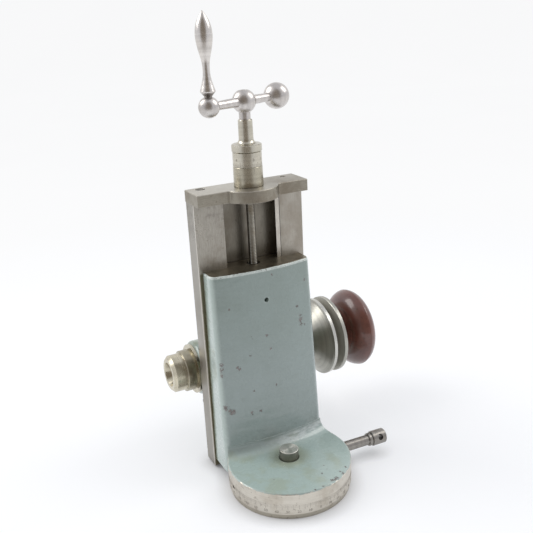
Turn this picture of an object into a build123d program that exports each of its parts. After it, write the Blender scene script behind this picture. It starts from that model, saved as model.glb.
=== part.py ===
from build123d import *
from math import cos, radians, sin, sqrt, tan
import os

# Milling slide with a collet spindle on a round swivel foot. Millimetres.
# Origin: centre of the foot's underside, on the pivot axis. +Z up, +X along the
# spindle towards its pulley and knob, +Y from the column towards the slide.

# Fits
RUN = 0.05            # clearance across a joint
SEAT = 0.01           # clearance of a seated or pressed piece

# Casting
foot_r = 40.0
foot_h = 18.2
foot_back_y = 37.6    # flat on the foot, clear of the slide
band_h = 10.8         # graduated band round the foot
band_depth = 0.1
foot_taper = (0.9, 3.6)    # the rim draws in this much below this height
face_y = 38.2         # machined face that the slide bears on
column_top_z = 140.8
column_low_z = 7.0
column_half_top = 34.6
column_half_low = 35.9
front_top_y = 22.4    # middle of the bowed front, at the top
front_low_y = 14.0    # the same, at the foot
front_bow = 4.2       # the front's corners lie this much further back
column_corner_r = 4.6
web_fillet_r = 8.0    # between the column and the foot

# Dovetail
tail_left = -17.95    # flanks where they meet the machined face
tail_right = 17.45
tail_depth = 7.9
tail_angle = 30.0     # flank from the perpendicular

# Slide
slide_half = 37.1
slide_front_y = face_y + RUN
slide_back_y = 51.4
slide_low_z = 1.8
slide_top_z = 183.7
channel_left = -18.0
channel_right = 20.6
channel_depth = 8.3
gib_thick = 2.8
gib_screw_z = (30.0, 75.0, 120.0)
gib_screw_y = 42.4
gib_screw_r = 2.0

# End plate
end_half = 37.25
end_front_y = 30.6
end_top_z = 191.1
end_boss_r = 18.2
end_screw_x = -29.0
end_dowel_x = 27.8
end_fix_y = 46.0
fix_sink = 0.25       # the screw's head and the dowel lie this much under the plate's top

# Leadscrew and its fittings
screw_y = 37.85
screw_r = 2.75
screw_low_z = 38.0
screw_hole_r = 4.3
screw_hole_low_z = 22.0
nut_r = 8.0
nut_z = 120.5
nut_front_y = 28.0
nut_hole_r = 1.5
journal_r = 3.0
thrust_z = 187.1      # underside of the sleeve's spigot
collar_r = 5.0
spigot_r = 7.5
bush_r = 4.5
sleeve_r = 9.2
sleeve_top_z = 203.3
dial_r = 8.95
dial_top_z = 212.2
cap_r = 9.3
cap_low_z = 212.4
cap_top_z = 216.8
boss_r = 5.0          # tube inside the dial
neck_r = 4.5
neck_sweep_r = 3.2    # concave sweep from the cap up to the neck
neck_top_z = 231.4
tip_r = 2.2

# Crank
hub_z = 241.9
hub_ball_r = 7.2
grip_ball_r = 6.15
weight_ball_r = 8.1
crank_turn = 21.7     # arm's direction from +X at rest
grip_arm = 28.9
weight_arm = 29.4
arm_root_r = 3.0
arm_tip_r = 2.4
stem_r = 3.5
pin_turn = -26.0      # direction of the two cross pins from +X
neck_pin = (0.75, neck_top_z - 6.5)   # radius and height
stem_pin = (0.6, neck_top_z + 2.6)
grip_sink = 0.85      # the grip's foot stands this deep in the ball
grip_foot_r = 2.2
grip_pin_r = 1.48     # rivet under the grip
grip_pin = 3.5
grip_tip_r = 0.6
grip_profile = (      # radius and height above the foot, from the rim to the tip
    (4.5, 3.6), (3.3, 7.4), (2.4, 11.0), (2.05, 15.8), (2.5, 20.6), (3.5, 24.6),
    (4.45, 29.0), (4.95, 34.0), (4.5, 38.1), (3.55, 41.2), (2.0, 44.1), (grip_tip_r, 46.1),
)

# Pivot and clamp
stud_r = 6.2
stud_top_z = 24.2
stud_edge = 0.25
stud_groove = 1.2     # depth of the clamping groove
stud_flange_r = 9.5
stud_flange_h = 3.0
stud_tap_r = 2.5
stud_tap_depth = 14.0
clamp_z = 12.2
clamp_turn = -2.0     # clamp axis from +X, degrees
clamp_r = 3.5
clamp_head_r = 5.0
clamp_collar_r = 4.4
clamp_collar = (59.4, 61.4)
clamp_head_x = 62.1
clamp_end_x = 72.3
clamp_inner_x = 14.0
plunger_r = 2.5
tommy_r = 1.8
tommy_x = 67.3
tommy_roll = -31.0    # the hole's tilt about the clamp axis

# Spindle
axis_y = 75.0
axis_z = 58.7
housing_left = -33.3
housing_right = 40.0
housing_r = 19.0
housing_round = 2.8
flange_half = 34.5
flange_thick = 6.2
flange_low_z = 33.0
flange_top_z = 84.4
housing_bolt_x = 29.0
housing_bolt_z = (39.0, 78.4)
bush_out_r = 14.5
bush_in_r = 11.04
bush_length = 22.0
journal_out_r = 11.0
nose_end = -51.84
nose_r = 12.9
nose_thread_r = 13.3   # thread under the ring
nose_collar_r = 17.2
nose_collar = (-35.2, housing_left - RUN)
ring_r = 14.3
ring = (-42.3, -35.3)
mouth_r = 8.48
collet_r = 6.0
collet_seat = (-45.0, -22.0)
tube_hole_r = 7.0
tail_r = 9.0
spindle_end = 86.0

# Pulley
pulley_hub_r = 11.5
pulley_cone = 52.0    # where the cone up to the rim starts
pulley_screw_x = 49.3
pulley_left = 64.0
pulley_right = 76.4
pulley_end = 81.3     # end of the hub on the knob's side
rim_left_r = 28.67
rim_right_r = 28.5
groove_top = (67.3, 73.2)
groove_root = (69.2, 71.2)
groove_root_r = 21.5
key_x = (50.0, 60.0)
key_half = 1.5
key_sink = 1.2        # depth in the shaft, and the same in the pulley

# Draw tube and knob
tube_r = 6.95
tube_bore_r = 4.2
tube_low = -18.0
tube_end = 107.0
knob_mid = 96.05
knob_r = 29.35
knob_half = 6.95
knob_rim_r = 9.2      # radial reach of the rounded rim
knob_belly = ((25.56, 89.47), (17.07, 86.75))   # left side: radius and place along the spindle
knob_throat = (12.5, 84.3)
ferrule_r = 10.6
ferrule_thick = 1.6
tube_collar = 2.5     # thickness of the draw tube's collar, on the spindle's end
tube_collar_r = 9.5


def block(x, y, z):
    size = [high - low for low, high in (x, y, z)]
    middle = [(low + high) / 2 for low, high in (x, y, z)]
    return Pos(*middle) * Box(*size)


def rod(radius, low, high, x=0.0, y=0.0):
    return Pos(x, y, (low + high) / 2) * Cylinder(radius, high - low)


def rod_x(radius, low, high, y, z):
    return Pos((low + high) / 2, y, z) * Rot(0, 90, 0) * Cylinder(radius, high - low)


def rod_y(radius, low, high, x, z):
    return Pos(x, (low + high) / 2, z) * Rot(90, 0, 0) * Cylinder(radius, high - low)


def turned(profile):
    """Solid of revolution about Z from (radius, height) corners."""
    wire = Polyline(*[(r, 0, z) for r, z in profile], close=True)
    return revolve(make_face(wire), Axis.Z)


def on_spindle(shape):
    """Lay a solid turned about Z along the spindle, its height as X."""
    return Pos(0, axis_y, axis_z) * Rot(0, 90, 0) * shape


def on_screw(shape):
    return Pos(0, screw_y, 0) * shape


def on_clamp(shape):
    """Turn a solid built along X at the clamp's height to the clamp's direction."""
    return Rot(0, 0, clamp_turn) * Pos(0, 0, clamp_z) * shape


# ---- casting ----

def column_section(half, front_y, z):
    side_y = front_y + front_bow
    outline = [
        Line((-half, face_y, z), (half, face_y, z)),
        Line((half, face_y, z), (half, side_y, z)),
        ThreePointArc((half, side_y, z), (0, front_y, z), (-half, side_y, z)),
        Line((-half, side_y, z), (-half, face_y, z)),
    ]
    return make_face(outline)


def column():
    top = column_section(column_half_top, front_top_y, column_top_z)
    low = column_section(column_half_low, front_low_y, column_low_z)
    body = loft([low, top], ruled=True)
    upright = body.edges().filter_by(lambda e: abs(e.tangent_at(0.5).Z) > 0.9)
    front = upright.sort_by(Axis.Y)[:2]
    body = fillet(front, column_corner_r)
    rim = [e for e in body.edges().group_by(Axis.Z)[-1] if e.center().Y < face_y - 1]
    return fillet(rim, 1.2)


def foot():
    edge = 0.7
    taper, taper_z = foot_taper
    disc = turned([
        (0, 0), (foot_r - band_depth - taper, 0), (foot_r - band_depth, taper_z),
        (foot_r - band_depth, band_h), (foot_r, band_h + band_depth),
        (foot_r, foot_h - edge), (foot_r - edge, foot_h), (0, foot_h),
    ])
    return disc - block((-foot_r, foot_r), (foot_back_y, foot_r + 1), (-1, foot_h + 1))


def web_fillet():
    """Concave fillet where the bowed front runs down into the foot."""
    half = column_half_low
    bow_r = (half ** 2 + front_bow ** 2) / (2 * front_bow)
    start_y = front_low_y + 1.0
    inner = bow_r - 3.0
    outer = bow_r + web_fillet_r
    low = foot_h - 1
    top = foot_h + web_fillet_r
    lean = web_fillet_r * sqrt(0.5)
    outline = [
        Line((inner, 0, low), (outer, 0, low)),
        Line((outer, 0, low), (outer, 0, foot_h)),
        ThreePointArc((outer, 0, foot_h), (outer - lean, 0, top - lean), (bow_r, 0, top)),
        Line((bow_r, 0, top), (inner, 0, top)),
        Line((inner, 0, top), (inner, 0, low)),
    ]
    ring = revolve(make_face(outline), Axis.Z)
    ring = Pos(0, start_y + bow_r, 0) * ring
    return ring & rod(foot_r - 0.4, low, top + 1)


def dovetail():
    reach = tail_depth * tan(radians(tail_angle))
    back = face_y + tail_depth
    z = column_low_z + 1.0
    outline = Polyline(
        (tail_left, face_y - 1, z), (tail_left, face_y, z), (tail_left - reach, back, z),
        (tail_right + reach, back, z), (tail_right, face_y, z), (tail_right, face_y - 1, z),
        close=True,
    )
    return extrude(make_face(outline), column_top_z - z, dir=(0, 0, 1))


def angle_bracket():
    body = column() + foot() + web_fillet() + dovetail()
    pivot = rod(stud_r + 0.06, -1, foot_h + 1)
    pivot += rod(stud_flange_r + 0.1, -1, stud_flange_h + 0.2)
    pivot += turned([
        (0, foot_h - 0.7), (stud_r, foot_h - 0.7), (stud_r + 1.2, foot_h + 0.5), (0, foot_h + 0.5),
    ])
    body -= pivot
    body -= on_clamp(rod_x(clamp_r + RUN, clamp_inner_x - 0.5, foot_r + 5, 0, 0))
    body -= on_clamp(rod_x(plunger_r + RUN, 0, clamp_inner_x, 0, 0))
    body -= rod(screw_hole_r, screw_hole_low_z, column_top_z + 1, 0, screw_y)
    body -= rod_y(nut_r + SEAT, nut_front_y, face_y + tail_depth + 1, 0, nut_z)
    body -= rod_y(nut_hole_r, 0, nut_front_y + 1, 0, nut_z)
    body -= Rot(0, 0, 179) * rod_x(1.3, foot_r - 4, foot_r + 1, 0, 9.0)
    return body


def leadscrew_nut():
    nut = rod_y(nut_r, nut_front_y + SEAT, face_y + tail_depth - 0.3, 0, nut_z)
    nut -= rod(screw_r + RUN, nut_z - nut_r - 1, nut_z + nut_r + 1, 0, screw_y)
    return nut - rod_y(nut_hole_r, nut_front_y - 1, nut_front_y + 3.5, 0, nut_z)


def nut_set_screw():
    slot_y = front_top_y + 3.0
    screw = rod_y(nut_hole_r - SEAT, slot_y, nut_front_y + 3.4, 0, nut_z)
    return screw - block((-2, 2), (slot_y - 1, slot_y + 0.7), (nut_z - 0.25, nut_z + 0.25))


# ---- pivot and clamp ----

def pivot_stud():
    root_r = stud_r - stud_groove
    stud = turned([
        (0, 0), (stud_flange_r, 0), (stud_flange_r, stud_flange_h), (stud_r, stud_flange_h),
        (stud_r, clamp_z - stud_groove - 0.3), (root_r, clamp_z - 0.3),
        (root_r, clamp_z + 0.3), (stud_r, clamp_z + stud_groove + 0.3),
        (stud_r, stud_top_z - stud_edge), (stud_r - stud_edge, stud_top_z), (0, stud_top_z),
    ])
    return stud - rod(stud_tap_r, -1, stud_tap_depth)


def clamp_plunger():
    nose = stud_r - stud_groove + 0.1
    body = turned([
        (0, nose), (0.3, nose), (plunger_r, nose + plunger_r - 0.3),
        (plunger_r, clamp_inner_x - 0.1), (0, clamp_inner_x - 0.1),
    ])
    body -= rod(1.55, clamp_inner_x - 4, clamp_inner_x + 1)
    return on_clamp(Rot(0, 90, 0) * body)


def clamp_screw():
    body = turned([
        (0, clamp_inner_x - 3.8), (1.5, clamp_inner_x - 3.8), (1.5, clamp_inner_x),
        (clamp_r - 0.5, clamp_inner_x), (clamp_r, clamp_inner_x + 0.5), (clamp_r, clamp_collar[0]),
        (clamp_collar_r - 0.2, clamp_collar[0]), (clamp_collar_r, clamp_collar[0] + 0.3),
        (clamp_collar_r, clamp_collar[1]), (clamp_r + 0.4, clamp_collar[1]), (clamp_r + 0.4, clamp_head_x),
        (clamp_head_r - 0.4, clamp_head_x), (clamp_head_r, clamp_head_x + 0.4),
        (clamp_head_r, clamp_end_x - 0.6), (clamp_head_r - 0.6, clamp_end_x), (0, clamp_end_x),
    ])
    hole = rod_y(tommy_r, -clamp_head_r - 1, clamp_head_r + 1, tommy_x, 0)
    return on_clamp(Rot(0, 90, 0) * body - Rot(tommy_roll, 0, 0) * hole)


# ---- slide ----

def channel_prism():
    reach = channel_depth * tan(radians(tail_angle))
    z = slide_low_z - 1
    back = slide_front_y + channel_depth
    lip = 1.0
    spread = lip * tan(radians(tail_angle))
    outline = Polyline(
        (channel_left + spread, slide_front_y - lip, z), (channel_left - reach, back, z),
        (channel_right + reach, back, z), (channel_right - spread, slide_front_y - lip, z),
        close=True,
    )
    return extrude(make_face(outline), slide_top_z - slide_low_z + 2, dir=(0, 0, 1))


def slide_plate():
    plate = block((-slide_half, slide_half), (slide_front_y, slide_back_y), (slide_low_z, slide_top_z))
    plate = chamfer(plate.edges().filter_by(Axis.Z), 0.4)
    plate -= channel_prism()
    for z in gib_screw_z:
        plate -= rod_x(gib_screw_r, channel_right, slide_half + 1, gib_screw_y, z)
    for x in (-housing_bolt_x, housing_bolt_x):
        for z in housing_bolt_z:
            plate -= rod_y(2.5, 44.0, slide_back_y + 1, x, z)
    plate -= rod(1.7, slide_top_z - 12, slide_top_z + 1, end_screw_x, end_fix_y)
    plate -= rod(1.3, slide_top_z - 8, slide_top_z + 1, end_dowel_x, end_fix_y)
    return plate


def gib_strip():
    left = tail_right + RUN / cos(radians(tail_angle))
    deep = tail_depth - 0.2
    reach = deep * tan(radians(tail_angle))
    front = slide_front_y + 0.02
    back = front + deep
    z = slide_low_z + 0.7
    outline = Polyline(
        (left, front, z), (left + reach, back, z),
        (left + reach + gib_thick, back, z), (left + gib_thick, front, z), close=True,
    )
    return extrude(make_face(outline), slide_top_z - 0.7 - z, dir=(0, 0, 1))


def gib_right_x(y):
    left = tail_right + RUN / cos(radians(tail_angle))
    return left + gib_thick + (y - slide_front_y) * tan(radians(tail_angle))


def gib_screws():
    """Three slotted grub screws; each tip is cut to the gib's slope."""
    tip = gib_right_x(gib_screw_y)
    end = slide_half + 3.6
    low_y = gib_screw_y - 6
    high_y = gib_screw_y + 6
    screws = []
    for z in gib_screw_z:
        screw = rod_x(gib_screw_r - SEAT, tip - 2, end, gib_screw_y, z)
        wedge = Polyline(
            (gib_right_x(low_y) + 0.02, low_y, z - 3), (gib_right_x(high_y) + 0.02, high_y, z - 3),
            (0, high_y, z - 3), (0, low_y, z - 3), close=True,
        )
        screw -= extrude(make_face(wedge), 6, dir=(0, 0, 1))
        screw -= block((end - 0.8, end + 1), (gib_screw_y - 3, gib_screw_y + 3), (z - 0.25, z + 0.25))
        screws.append(screw)
    return Compound(children=[s.solid() for s in screws])


def gib_lock_nuts():
    nuts = []
    for z in gib_screw_z:
        hexagon = Plane.YZ.offset(slide_half + 0.02) * Pos(gib_screw_y, z) * RegularPolygon(3.9, 6)
        nut = extrude(hexagon, 2.4) - rod_x(gib_screw_r, slide_half - 1, slide_half + 4, gib_screw_y, z)
        nuts.append(nut)
    return Compound(children=[n.solid() for n in nuts])


def end_plate():
    width = 2 * end_half
    depth = slide_back_y - end_front_y
    bar = Pos(0, (slide_back_y + end_front_y) / 2) * Rectangle(width, depth)
    outline = bar + Pos(0, screw_y) * Circle(end_boss_r)
    outline = outline & Pos(0, slide_back_y - 50) * Rectangle(width, 100)
    inner = [
        v for v in outline.vertices()
        if abs(v.Y - end_front_y) < 0.1 and abs(v.X) < end_boss_r
    ]
    outline = fillet(inner, 2.6)
    plate = Pos(0, 0, slide_top_z) * extrude(outline, end_top_z - slide_top_z)
    plate = chamfer(plate.edges().group_by(Axis.Z)[-1], 0.35)
    plate -= rod(collar_r + 0.1, slide_top_z - 1, thrust_z, 0, screw_y)
    plate -= rod(spigot_r + SEAT, thrust_z, end_top_z + 1, 0, screw_y)
    plate -= rod(2.0, slide_top_z - 1, end_top_z + 1, end_screw_x, end_fix_y)
    plate -= rod(3.05, end_top_z - 3.6, end_top_z + 1, end_screw_x, end_fix_y)
    plate -= rod(1.72, slide_top_z - 1, end_top_z + 1, end_dowel_x, end_fix_y)
    return plate


def end_plate_screw():
    top = end_top_z - fix_sink
    head = rod(2.9, end_top_z - 3.58, top, end_screw_x, end_fix_y)
    shank = rod(1.68, slide_top_z - 11, end_top_z - 3.5, end_screw_x, end_fix_y)
    slot_x = (end_screw_x - 4, end_screw_x + 4)
    return head + shank - block(slot_x, (end_fix_y - 0.3, end_fix_y + 0.3), (top - 0.7, top + 1))


def end_plate_dowel():
    body = turned([
        (0, slide_top_z - 7.5), (1.28, slide_top_z - 7.5), (1.28, slide_top_z + 0.02),
        (1.7, slide_top_z + 0.02), (1.7, end_top_z - fix_sink), (0, end_top_z - fix_sink),
    ])
    return Pos(end_dowel_x, end_fix_y, 0) * body


def bearing_sleeve():
    top_r = sleeve_r - 0.12
    body = turned([
        (bush_r, thrust_z), (spigot_r, thrust_z), (spigot_r, end_top_z),
        (sleeve_r - 0.3, end_top_z), (sleeve_r, end_top_z + 0.3),
        (top_r, sleeve_top_z - 0.3), (top_r - 0.3, sleeve_top_z), (bush_r, sleeve_top_z),
    ])
    return on_screw(body)


def screw_bush():
    body = turned([
        (journal_r + RUN, thrust_z), (bush_r - SEAT, thrust_z),
        (bush_r - SEAT, sleeve_top_z), (journal_r + RUN, sleeve_top_z),
    ])
    return on_screw(body)


# ---- leadscrew, dial and crank ----

def leadscrew():
    pinned_top = neck_top_z + 5.2
    body = turned([
        (0, screw_low_z), (screw_r - 0.7, screw_low_z), (screw_r, screw_low_z + 0.7),
        (screw_r, slide_top_z + 0.4), (collar_r, slide_top_z + 0.4), (collar_r, thrust_z - RUN),
        (journal_r, thrust_z - RUN), (journal_r, cap_top_z - 0.8), (tip_r, cap_top_z - 0.8),
        (tip_r, pinned_top), (0, pinned_top),
    ])
    return on_screw(body) - cross_pin_holes()


def cross_pin_holes():
    low = rod_x(neck_pin[0], -6, 6, 0, neck_pin[1])
    high = rod_x(stem_pin[0], -6, 6, 0, stem_pin[1])
    return on_screw(Rot(0, 0, pin_turn) * (low + high))


def cross_pins():
    low = rod_x(neck_pin[0] - SEAT, -neck_r + 0.15, neck_r - 0.15, 0, neck_pin[1])
    high = rod_x(stem_pin[0] - SEAT, -stem_r + 0.1, stem_r - 0.1, 0, stem_pin[1])
    return Compound(children=[on_screw(Rot(0, 0, pin_turn) * pin).solid() for pin in (low, high)])


def dial():
    body = turned([
        (boss_r + RUN, sleeve_top_z + RUN), (dial_r - 0.15, sleeve_top_z + RUN),
        (dial_r, sleeve_top_z + 0.2),
        (dial_r, dial_top_z - 0.2), (dial_r - 0.2, dial_top_z), (7.4, dial_top_z),
        (7.4, dial_top_z - 1.8), (boss_r + RUN, dial_top_z - 1.8),
    ])
    return on_screw(body)


def dial_spring():
    body = turned([
        (boss_r + 0.02, dial_top_z - 1.2), (7.1, dial_top_z - 1.7),
        (7.1, dial_top_z - 1.3), (boss_r + 0.02, dial_top_z - 0.8),
    ])
    return on_screw(body)


def dial_cap():
    """Cap that drives the screw: a tube inside the dial, a rim, and a tall neck."""
    sweep_r = neck_sweep_r
    lean = sweep_r * (1 - sqrt(0.5))
    bore_r = journal_r + SEAT
    step_z = cap_top_z - 0.8 + SEAT
    low = sleeve_top_z + RUN
    outside = turned([
        (0, low), (boss_r, low), (boss_r, cap_low_z), (cap_r - 0.3, cap_low_z),
        (cap_r, cap_low_z + 0.3), (cap_r, cap_top_z - 0.5), (cap_r - 0.7, cap_top_z), (0, cap_top_z),
    ])
    neck = [
        Line((0, 0, cap_top_z - 1), (neck_r + sweep_r, 0, cap_top_z - 1)),
        Line((neck_r + sweep_r, 0, cap_top_z - 1), (neck_r + sweep_r, 0, cap_top_z)),
        ThreePointArc(
            (neck_r + sweep_r, 0, cap_top_z), (neck_r + lean, 0, cap_top_z + lean),
            (neck_r, 0, cap_top_z + sweep_r),
        ),
        Line((neck_r, 0, cap_top_z + sweep_r), (neck_r - 0.1, 0, neck_top_z - 0.5)),
        Line((neck_r - 0.1, 0, neck_top_z - 0.5), (neck_r - 0.6, 0, neck_top_z)),
        Line((neck_r - 0.6, 0, neck_top_z), (0, 0, neck_top_z)),
        Line((0, 0, neck_top_z), (0, 0, cap_top_z - 1)),
    ]
    body = outside + revolve(make_face(neck), Axis.Z)
    body -= rod(bore_r, low - 1, step_z)
    body -= rod(tip_r + SEAT, low, neck_top_z + 1)
    return on_screw(body) - cross_pin_holes()


def crank_handle():
    hub = Pos(0, 0, hub_z) * Sphere(hub_ball_r)
    hub += rod(stem_r, neck_top_z + 0.02, hub_z)
    hub -= rod(hub_ball_r, hub_z + hub_ball_r - 0.7, hub_z + hub_ball_r + 1)
    hub -= rod(2.1, hub_z + hub_ball_r - 1.0, hub_z + hub_ball_r + 1)
    ends = ((-grip_arm, grip_ball_r), (weight_arm, weight_ball_r))
    for reach, ball_r in ends:
        side = 1 if reach > 0 else -1
        arm = Pos(reach / 2, 0, hub_z) * Rot(0, 90 * side, 0) * Cone(arm_root_r, arm_tip_r, abs(reach))
        hub += arm
        hub += Pos(reach, 0, hub_z) * Sphere(ball_r)
    hub -= rod(tip_r + SEAT, neck_top_z - 1, neck_top_z + 5.4)
    hub -= rod(1.5, hub_z + 1.5, hub_z + grip_ball_r + 1, x=-grip_arm)
    seat_z = hub_z + grip_ball_r - grip_sink - 0.02
    hub -= rod(grip_foot_r + RUN, seat_z, hub_z + grip_ball_r + 1, x=-grip_arm)
    return Pos(0, screw_y, 0) * Rot(0, 0, crank_turn) * hub - cross_pin_holes()


def crank_grip():
    """Turned grip: a flared foot, a slim waist and a long swelling with a fine tip."""
    base = hub_z + grip_ball_r - grip_sink
    side = Spline(*[(r, 0, base + height) for r, height in grip_profile])
    rim_r, rim_z = grip_profile[0]
    tip_low = base + grip_profile[-1][1]
    top = tip_low + grip_tip_r
    cosine = sqrt(0.5)
    tip = ThreePointArc(
        (grip_tip_r, 0, tip_low), (grip_tip_r * cosine, 0, tip_low + grip_tip_r * cosine), (0, 0, top),
    )
    foot_line = Polyline(
        (0, 0, top), (0, 0, base - grip_pin), (grip_pin_r, 0, base - grip_pin), (grip_pin_r, 0, base),
        (grip_foot_r, 0, base), (grip_foot_r, 0, base + 0.7), (rim_r - 0.25, 0, base + rim_z - 0.5),
        (rim_r, 0, base + rim_z),
    )
    grip = revolve(make_face([foot_line, side, tip]), Axis.Z)
    return Pos(0, screw_y, 0) * Rot(0, 0, crank_turn) * Pos(-grip_arm, 0, 0) * grip


# ---- spindle housing ----

def spindle_housing():
    barrel = on_spindle(rod(housing_r, housing_left, housing_right))
    barrel = fillet(barrel.edges().filter_by(GeomType.CIRCLE), housing_round)
    low_y = slide_back_y + 0.02
    thick = (low_y, low_y + flange_thick)
    flange = block((-flange_half, flange_half), thick, (flange_low_z, flange_top_z))
    flange = fillet(flange.edges().filter_by(Axis.Y), 6.0)
    web = block((-27, 33), (low_y, axis_y), (axis_z - 15, axis_z + 15))
    body = barrel + flange + web
    body -= on_spindle(rod(13.2, housing_left, housing_right))
    body -= on_spindle(rod(bush_out_r + SEAT, housing_left - 1, housing_left + bush_length))
    body -= on_spindle(rod(bush_out_r + SEAT, housing_right - bush_length, housing_right + 1))
    for x in (-housing_bolt_x, housing_bolt_x):
        for z in housing_bolt_z:
            body -= rod_y(2.7, low_y - 1, low_y + flange_thick + 1, x, z)
    for x in oiler_places():
        body -= rod(2.0, axis_z + 10, axis_z + housing_r + 2, x, axis_y)
    return body


def oiler_places():
    return (housing_left + bush_length / 2, housing_right - bush_length / 2)


def housing_bolts():
    seat_y = slide_back_y + 0.02 + flange_thick
    bolts = []
    for x in (-housing_bolt_x, housing_bolt_x):
        for z in housing_bolt_z:
            bolt = rod_y(2.49, 44.5, seat_y + 0.02, x, z)
            bolt += rod_y(4.2, seat_y + 0.02, seat_y + 5, x, z)
            key = Plane.XZ.offset(-(seat_y + 5)) * Pos(x, z) * RegularPolygon(2.3, 6)
            bolt -= extrude(key, 2.5, dir=(0, -1, 0))
            bolts.append(bolt)
    return Compound(children=[b.solid() for b in bolts])


def bearing_bush(low):
    body = turned([
        (bush_in_r, low), (bush_out_r, low),
        (bush_out_r, low + bush_length), (bush_in_r, low + bush_length),
    ])
    oil_hole = Pos(low + bush_length / 2, axis_y, axis_z) * rod(1.0, 0, 30)
    return on_spindle(body) - oil_hole


def housing_oilers():
    """Two ball oilers pressed in over the bearings."""
    low = axis_z + bush_out_r + 0.1
    seat = axis_z + housing_r + 0.02
    oilers = []
    for x in oiler_places():
        body = turned([
            (0, low), (1.98, low), (1.98, seat), (3.2, seat), (3.2, seat + 1.2),
            (2.6, seat + 1.8), (1.2, seat + 1.8), (0, seat + 1.2),
        ])
        oilers.append(Pos(x, axis_y, 0) * body)
    return Compound(children=[o.solid() for o in oilers])


# ---- spindle ----

def spindle():
    body = turned([
        (mouth_r, nose_end), (nose_r - 2.0, nose_end), (nose_r, nose_end + 2.0), (nose_r, ring[0] + SEAT),
        (nose_thread_r, ring[0] + SEAT), (nose_thread_r, nose_collar[0]),
        (nose_collar_r, nose_collar[0]), (nose_collar_r, nose_collar[1]),
        (journal_out_r, nose_collar[1]),
        (journal_out_r, housing_right + 0.4), (10.0, housing_right + 0.4), (10.0, housing_right + 6.4),
        (tail_r, housing_right + 6.4), (tail_r, spindle_end), (tube_hole_r, spindle_end),
        (tube_hole_r, collet_seat[1]), (collet_r, collet_seat[1]), (collet_r, collet_seat[0]),
    ])
    return on_spindle(body) - key_block(0.0) - pulley_screw_hole()


def nose_ring():
    body = turned([
        (nose_thread_r + SEAT, ring[0] + 2 * SEAT), (ring_r - 0.4, ring[0] + 2 * SEAT),
        (ring_r, ring[0] + 0.4), (ring_r, ring[1] - 1.2), (ring_r - 0.6, ring[1] - 0.9),
        (ring_r - 0.6, ring[1]), (nose_thread_r + SEAT, ring[1]),
    ])
    return on_spindle(body)


def preload_nut():
    low = housing_right + 0.5
    nut = on_spindle(turned([
        (10.01, low), (14.6, low), (15.0, low + 0.4), (15.0, low + 5.4), (14.6, low + 5.8),
        (10.01, low + 5.8),
    ]))
    for turn in range(0, 360, 60):
        nut -= on_spindle(Rot(0, 0, turn) * block((13.4, 16), (-1.5, 1.5), (low - 1, low + 7)))
    return nut


def key_block(gap):
    half = key_half + gap
    rise = key_sink + gap
    return block(
        (key_x[0] - gap, key_x[1] + gap), (axis_y - half, axis_y + half),
        (axis_z + tail_r - rise, axis_z + tail_r + rise),
    )


def pulley_screw_hole():
    return rod_y(1.5, axis_y - pulley_hub_r - 1, axis_y - tail_r + 0.6, pulley_screw_x, axis_z)


def pulley():
    hub_low = housing_right + 6.6
    body = turned([
        (tail_r + SEAT, hub_low), (pulley_hub_r - 0.4, hub_low), (pulley_hub_r, hub_low + 0.4),
        (pulley_hub_r, pulley_cone), (rim_left_r - 1.5, pulley_left),
        (rim_left_r, pulley_left + 0.8), (rim_left_r, groove_top[0] - 0.3),
        (rim_left_r - 0.3, groove_top[0]),
        (groove_root_r, groove_root[0]), (groove_root_r, groove_root[1]),
        (rim_right_r - 0.3, groove_top[1]), (rim_right_r, groove_top[1] + 0.3),
        (rim_right_r, pulley_right - 0.6), (rim_right_r - 0.6, pulley_right),
        (14.0, pulley_right), (13.5, pulley_end), (tail_r + SEAT, pulley_end),
    ])
    return on_spindle(body) - key_block(0.02) - pulley_screw_hole()


def pulley_key():
    return key_block(-0.01)


def pulley_set_screw():
    mouth = axis_y - pulley_hub_r + 0.4
    screw = rod_y(1.49, mouth, axis_y - tail_r + 0.55, pulley_screw_x, axis_z)
    slot_x = (pulley_screw_x - 2, pulley_screw_x + 2)
    return screw - block(slot_x, (mouth - 1, mouth + 0.6), (axis_z - 0.25, axis_z + 0.25))


# ---- draw tube and knob ----

def draw_tube():
    low = spindle_end + 0.1
    high = low + tube_collar
    body = turned([
        (tube_bore_r, tube_low), (tube_r, tube_low), (tube_r, low),
        (tube_collar_r, low), (tube_collar_r, high), (tube_r, high),
        (tube_r, tube_end - 0.5), (tube_r - 0.5, tube_end), (tube_bore_r, tube_end),
    ])
    return on_spindle(body)


def ferrule_low():
    return spindle_end + 0.1 + tube_collar + RUN


def knob_ferrule():
    low = ferrule_low()
    high = low + ferrule_thick
    body = turned([
        (tube_r + SEAT, low), (ferrule_r - 0.4, low), (ferrule_r, low + 0.4), (ferrule_r, high),
        (tube_r + SEAT, high),
    ])
    return on_spindle(body)


def hand_knob():
    """Turned wooden wheel: a full round rim, a belly towards the pulley and a flat web."""
    high = knob_mid + knob_half
    web_r = knob_r - knob_rim_r
    cosine = sqrt(0.5)
    (belly_r, belly_x), (swell_r, swell_x) = knob_belly
    throat_r, throat_x = knob_throat
    seat = ferrule_low() + ferrule_thick + 0.02
    bore = tube_r + SEAT
    left = ThreePointArc((swell_r, 0, swell_x), (belly_r, 0, belly_x), (knob_r, 0, knob_mid))
    right = ThreePointArc(
        (knob_r, 0, knob_mid),
        (web_r + knob_rim_r * cosine, 0, knob_mid + knob_half * cosine), (web_r, 0, high),
    )
    rest = Polyline(
        (web_r, 0, high), (12.0, 0, high - 1.2), (bore, 0, high - 1.2), (bore, 0, seat),
        (ferrule_r + RUN, 0, seat), (ferrule_r + RUN, 0, throat_x), (throat_r, 0, throat_x),
        (swell_r, 0, swell_x),
    )
    return on_spindle(revolve(make_face([left, right, rest]), Axis.Z))


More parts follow.
